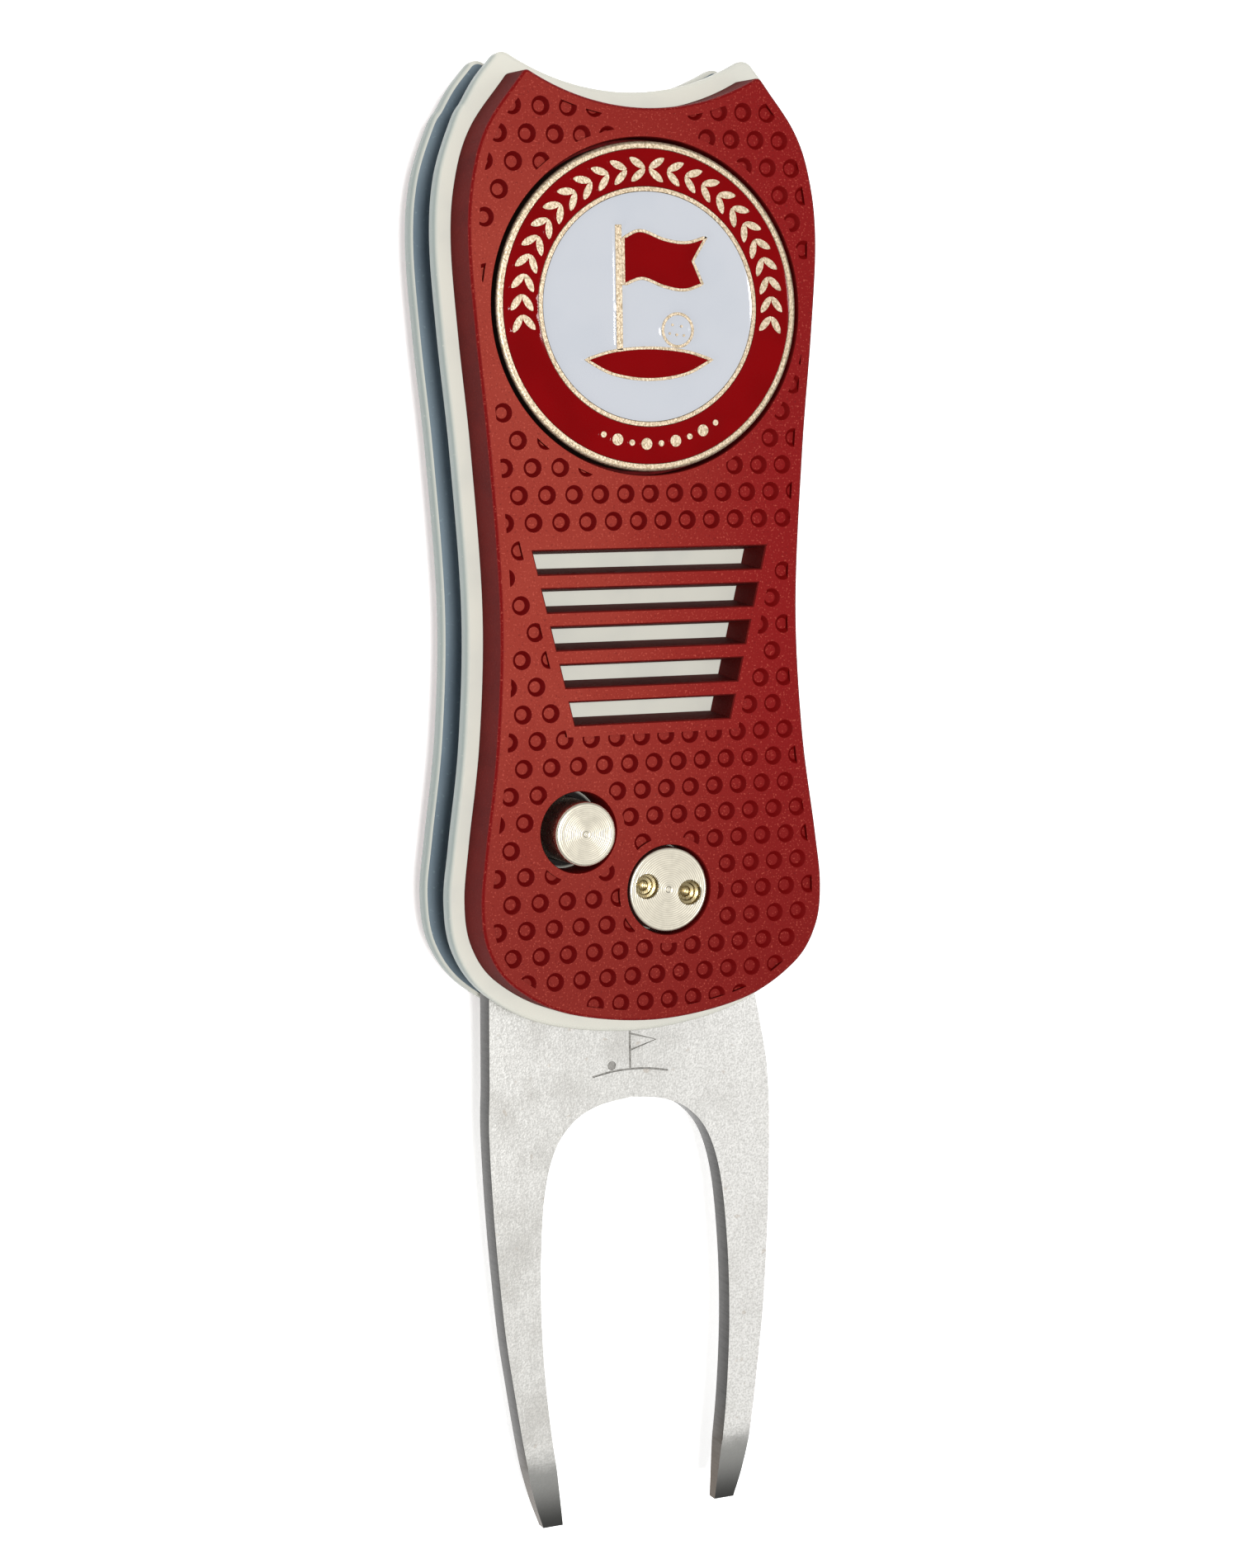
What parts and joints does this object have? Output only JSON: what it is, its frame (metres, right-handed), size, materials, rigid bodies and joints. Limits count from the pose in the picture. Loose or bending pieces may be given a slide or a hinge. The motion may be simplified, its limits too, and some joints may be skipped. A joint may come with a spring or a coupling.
{
  "type": "folding divot repair tool",
  "caption": "Folding golf divot tool: dimpled red grips on white plates, a forked steel blade on a sprung pivot, a push-button lock and a magnetic ball marker.",
  "frame": {"origin": "on the rear face of the rear grip, behind the centre of the ball marker", "axes": "+Z out of the front face, +Y along the handle towards the horned end, +X to the right seen from the front"},
  "size_m": [0.0318, 0.116, 0.0156],
  "materials": {
    "grip_red": "satin moulded with small pits",
    "plate_white": "satin",
    "spine_grey": "matt",
    "blade_steel": "bead blasted, ground tips",
    "turned_steel": "fine turned",
    "spring_steel": "drawn wire",
    "bronze": "plain",
    "nickel": "satin champagne plating",
    "magnet_black": "sintered",
    "enamel_crimson": "gloss enamel",
    "enamel_white": "gloss enamel"
  },
  "bodies": {
    "handle": {"front_grip": "grip_red", "front_plate": "plate_white", "spine": "spine_grey", "rear_plate": "plate_white", "rear_grip": "grip_red", "pivot_screw": "turned_steel", "pivot_barrel": "turned_steel", "front_washer": "bronze", "rear_washer": "bronze", "drive_spring": "spring_steel", "lock_spring": "spring_steel", "spring_plug": "turned_steel", "stop_pin": "turned_steel", "marker_magnet": "magnet_black", "frame_screw_1": "turned_steel", "frame_screw_2": "turned_steel", "frame_screw_3": "turned_steel"},
    "fork": {"fork_blade": "blade_steel"},
    "button": {"lock_button": "turned_steel"},
    "marker": {"marker_blank": "nickel", "marker_ring_enamel": "enamel_crimson", "marker_field_enamel": "enamel_white"}
  },
  "joints": [
    {"name": "fork_pivot", "type": "hinge", "parent": "handle", "child": "fork", "pos_m": [0.00115, -0.045, 0.0072], "axis": [0, 0, 1], "range_deg": [0, 180.3]},
    {"name": "button_press", "type": "slide", "parent": "handle", "child": "button", "axis": [0, 0, -1], "range_m": [0, 0.0015], "stiffness_N_per_m": 400, "springref_m": -0.001, "deforming": ["lock_spring"]},
    {"name": "marker_lift", "type": "slide", "parent": "handle", "child": "marker", "axis": [0, 0, 1], "range_m": [0, 0.006]}
  ]
}
